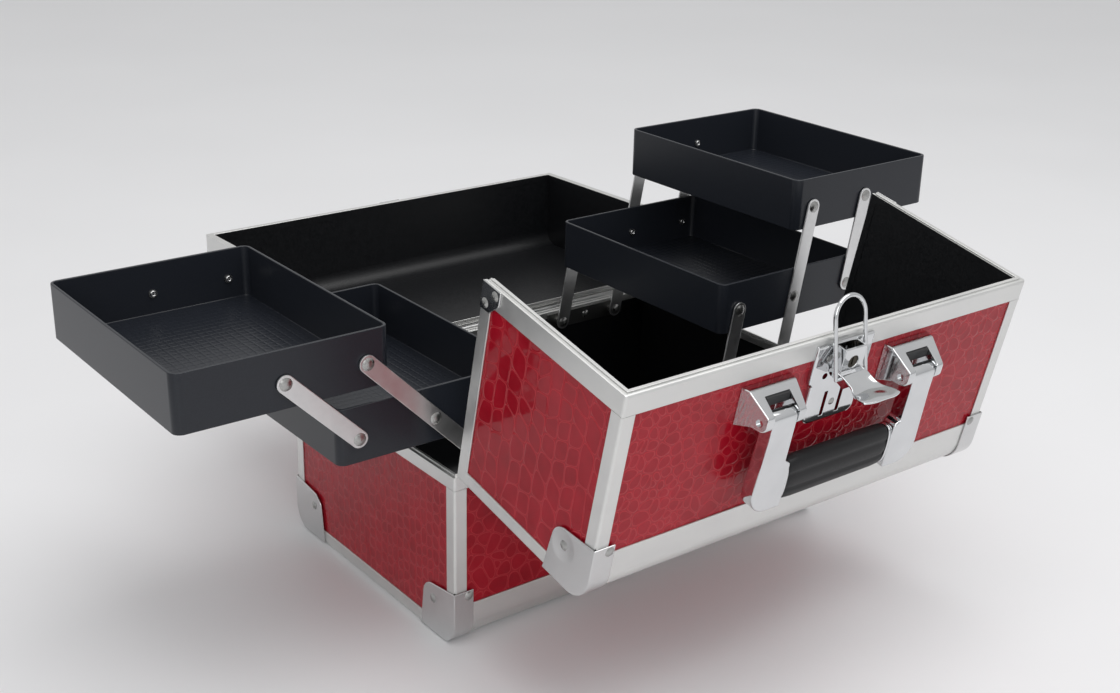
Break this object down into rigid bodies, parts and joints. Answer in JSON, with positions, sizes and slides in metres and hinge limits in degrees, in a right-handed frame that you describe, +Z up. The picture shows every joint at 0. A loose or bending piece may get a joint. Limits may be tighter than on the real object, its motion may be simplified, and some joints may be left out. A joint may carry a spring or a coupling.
{
  "type": "makeup train case",
  "caption": "Open makeup train case in an aluminium frame with red embossed panels, two hinged lids, swing-out trays on parallel arms, a carry handle and a draw latch",
  "frame": {"origin": "centre of the base's flat underside", "axes": "+X along the case to the right, -Y the front with the handle and latch, +Z up"},
  "size_m": [0.6453, 0.5803, 0.2804],
  "materials": {
    "red_film": "glossy embossed film on board",
    "aluminium": "satin extrusion",
    "cap_steel": "stamped and plated",
    "rivet_steel": "plated domes",
    "hinge_steel": "plated",
    "arm_steel": "satin strip",
    "chrome": "bright chrome",
    "key_brass": "dark turned plug",
    "tray_plastic": "fine grain",
    "lining": "black felted lining",
    "grip": "soft moulded grip"
  },
  "bodies": {
    "base": {"base_floor_panel": "red_film", "base_long_panels": "red_film", "base_end_panels": "red_film", "base_lining": "lining", "base_rim": "aluminium", "base_edge_angles": "aluminium", "base_bottom_rails": "aluminium", "base_corner_caps": "cap_steel", "base_cap_rivets": "rivet_steel", "arm_strips": "arm_steel", "arm_strip_rivets": "rivet_steel", "hinge_base_leaves": "hinge_steel", "hinge_pins": "hinge_steel"},
    "front_lid": {"front_lid_face_panel": "red_film", "front_lid_side_panel": "red_film", "front_lid_end_panels": "red_film", "front_lid_lining": "lining", "front_lid_rim": "aluminium", "front_lid_edge_angles": "aluminium", "front_lid_round_rail": "aluminium", "front_lid_corner_caps": "cap_steel", "front_lid_corner_brackets": "cap_steel", "front_lid_rivets": "rivet_steel", "front_lid_hinge_leaf": "hinge_steel", "handle_brackets": "chrome", "handle_pins": "chrome", "latch_plate": "chrome", "lock_housing": "chrome", "latch_lever_pin": "chrome"},
    "back_lid": {"back_lid_face_panel": "red_film", "back_lid_side_panel": "red_film", "back_lid_end_panels": "red_film", "back_lid_lining": "lining", "back_lid_rim": "aluminium", "back_lid_edge_angles": "aluminium", "back_lid_round_rail": "aluminium", "back_lid_corner_caps": "cap_steel", "back_lid_corner_brackets": "cap_steel", "back_lid_rivets": "rivet_steel", "back_lid_hinge_leaf": "hinge_steel", "latch_catch": "chrome"},
    "handle": {"handle_arms": "chrome", "handle_grip": "grip"},
    "lever": {"latch_lever": "chrome"},
    "bail": {"latch_bail": "chrome"},
    "key_plug": {"lock_key_plug": "key_brass"},
    "left_long_arms": {"left_long_arms": "arm_steel"},
    "left_lower_links": {"left_lower_links": "arm_steel"},
    "left_lower_tray": {"left_lower_tray": "tray_plastic", "left_lower_tray_rivets": "rivet_steel"},
    "left_upper_tray": {"left_upper_tray": "tray_plastic", "left_upper_tray_rivets": "rivet_steel"},
    "left_upper_links": {"left_upper_links": "arm_steel"},
    "right_long_arms": {"right_long_arms": "arm_steel"},
    "right_lower_links": {"right_lower_links": "arm_steel"},
    "right_lower_tray": {"right_lower_tray": "tray_plastic", "right_lower_tray_rivets": "rivet_steel"},
    "right_upper_tray": {"right_upper_tray": "tray_plastic", "right_upper_tray_rivets": "rivet_steel"},
    "right_upper_links": {"right_upper_links": "arm_steel"}
  },
  "joints": [
    {"name": "front_lid_hinge", "type": "hinge", "parent": "base", "child": "front_lid", "pos_m": [0, -0.1135, 0.1296], "axis": [1, 0, 0], "range_deg": [-16, 0]},
    {"name": "back_lid_hinge", "type": "hinge", "parent": "base", "child": "back_lid", "pos_m": [0, 0.1135, 0.1296], "axis": [-1, 0, 0], "range_deg": [-11, 0]},
    {"name": "handle_swing", "type": "hinge", "parent": "front_lid", "child": "handle", "pos_m": [0, -0.29052, 0.2121], "axis": [1, 0, 0], "range_deg": [-95, 4]},
    {"name": "lever_swing", "type": "hinge", "parent": "front_lid", "child": "lever", "pos_m": [0, -0.28275, 0.22602], "axis": [1, 0, 0], "range_deg": [0, 74]},
    {"name": "bail_swing", "type": "hinge", "parent": "lever", "child": "bail", "pos_m": [0, -0.28809, 0.22329], "axis": [1, 0, 0], "range_deg": [0, 75]},
    {"name": "key_turn", "type": "hinge", "parent": "front_lid", "child": "key_plug", "pos_m": [0, -0.2893, 0.23281], "axis": [0, -0.9781, -0.2079], "range_deg": [0, 90]},
    {"name": "left_trays_swing", "type": "hinge", "parent": "base", "child": "left_long_arms", "pos_m": [-0.1318, 0, 0.121], "axis": [0, -1, 0], "range_deg": [-99, 10]},
    {"name": "left_lower_tray_level", "type": "hinge", "parent": "left_long_arms", "child": "left_lower_tray", "pos_m": [-0.1813, 0, 0.1705], "axis": [0, -1, 0], "range_deg": [-11, 100]},
    {"name": "left_upper_tray_level", "type": "hinge", "parent": "left_long_arms", "child": "left_upper_tray", "pos_m": [-0.2308, 0, 0.21999], "axis": [0, -1, 0], "range_deg": [-11, 100]},
    {"name": "left_lower_links_swing", "type": "hinge", "parent": "base", "child": "left_lower_links", "pos_m": [-0.0748, 0, 0.121], "axis": [0, -1, 0], "range_deg": [-100, 11]},
    {"name": "left_upper_links_swing", "type": "hinge", "parent": "left_lower_tray", "child": "left_upper_links", "pos_m": [-0.2383, 0, 0.1705], "axis": [0, -1, 0], "range_deg": [-100, 11]},
    {"name": "right_trays_swing", "type": "hinge", "parent": "base", "child": "right_long_arms", "pos_m": [0.1318, 0, 0.121], "axis": [0, 1, 0], "range_deg": [-65, 44]},
    {"name": "right_lower_tray_level", "type": "hinge", "parent": "right_long_arms", "child": "right_lower_tray", "pos_m": [0.14516, 0, 0.18971], "axis": [0, 1, 0], "range_deg": [-45, 66]},
    {"name": "right_upper_tray_level", "type": "hinge", "parent": "right_long_arms", "child": "right_upper_tray", "pos_m": [0.15851, 0, 0.25843], "axis": [0, 1, 0], "range_deg": [-45, 66]},
    {"name": "right_lower_links_swing", "type": "hinge", "parent": "base", "child": "right_lower_links", "pos_m": [0.0748, 0, 0.121], "axis": [0, 1, 0], "range_deg": [-66, 45]},
    {"name": "right_upper_links_swing", "type": "hinge", "parent": "right_lower_tray", "child": "right_upper_links", "pos_m": [0.20216, 0, 0.18971], "axis": [0, 1, 0], "range_deg": [-66, 45]}
  ],
  "couplings": [
    {"joint": "left_lower_tray_level", "follows": "left_trays_swing", "ratio": -1},
    {"joint": "left_upper_tray_level", "follows": "left_trays_swing", "ratio": -1},
    {"joint": "left_lower_links_swing", "follows": "left_trays_swing", "ratio": 1},
    {"joint": "left_upper_links_swing", "follows": "left_trays_swing", "ratio": 1},
    {"joint": "right_lower_tray_level", "follows": "right_trays_swing", "ratio": -1},
    {"joint": "right_upper_tray_level", "follows": "right_trays_swing", "ratio": -1},
    {"joint": "right_lower_links_swing", "follows": "right_trays_swing", "ratio": 1},
    {"joint": "right_upper_links_swing", "follows": "right_trays_swing", "ratio": 1}
  ]
}
